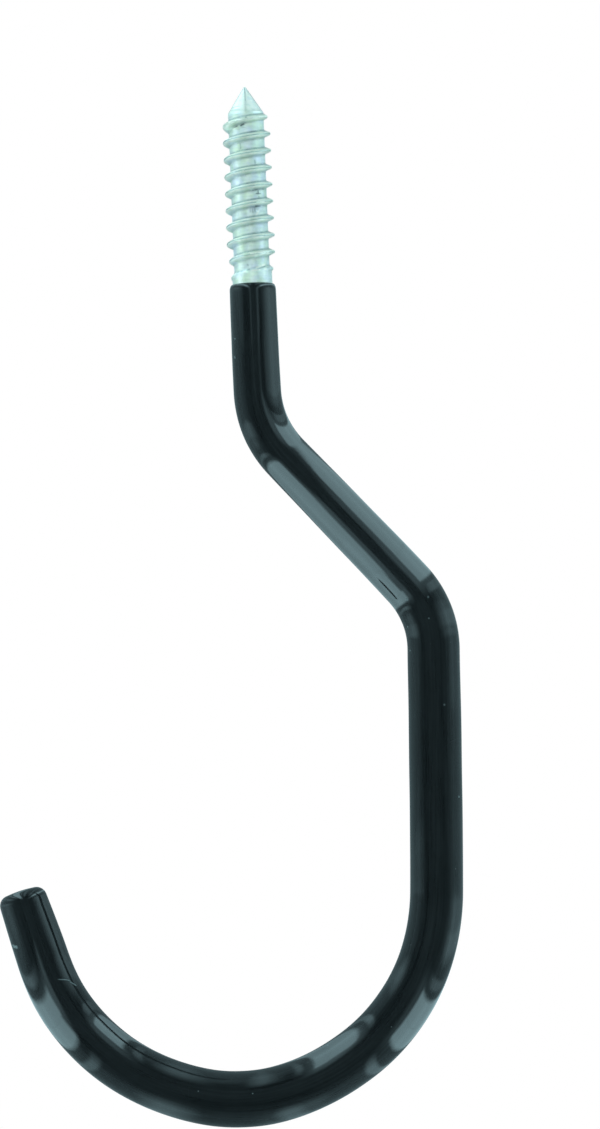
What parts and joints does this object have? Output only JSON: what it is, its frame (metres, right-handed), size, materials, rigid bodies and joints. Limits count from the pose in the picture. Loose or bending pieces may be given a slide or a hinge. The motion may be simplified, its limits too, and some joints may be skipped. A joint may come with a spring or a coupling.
{
  "type": "garage utility hook",
  "caption": "Screw-in utility hook: a round steel rod with a lag screw end, set off and bent into a wide open J, dipped in glossy black vinyl up to the thread.",
  "frame": {"origin": "on the screw's axis at the coating's top edge, where the bare collar comes out", "axes": "+Z along the screw to its point, +X the way the shank is set off, +Y across the plane that the rod is bent in"},
  "size_m": [0.0778, 0.0092, 0.1719],
  "materials": {
    "zinc_plate": "bright zinc plate on rolled steel",
    "black_vinyl": "glossy dipped vinyl"
  },
  "bodies": {
    "root": {"steel_hook": "zinc_plate", "vinyl_coating": "black_vinyl"}
  },
  "joints": []
}
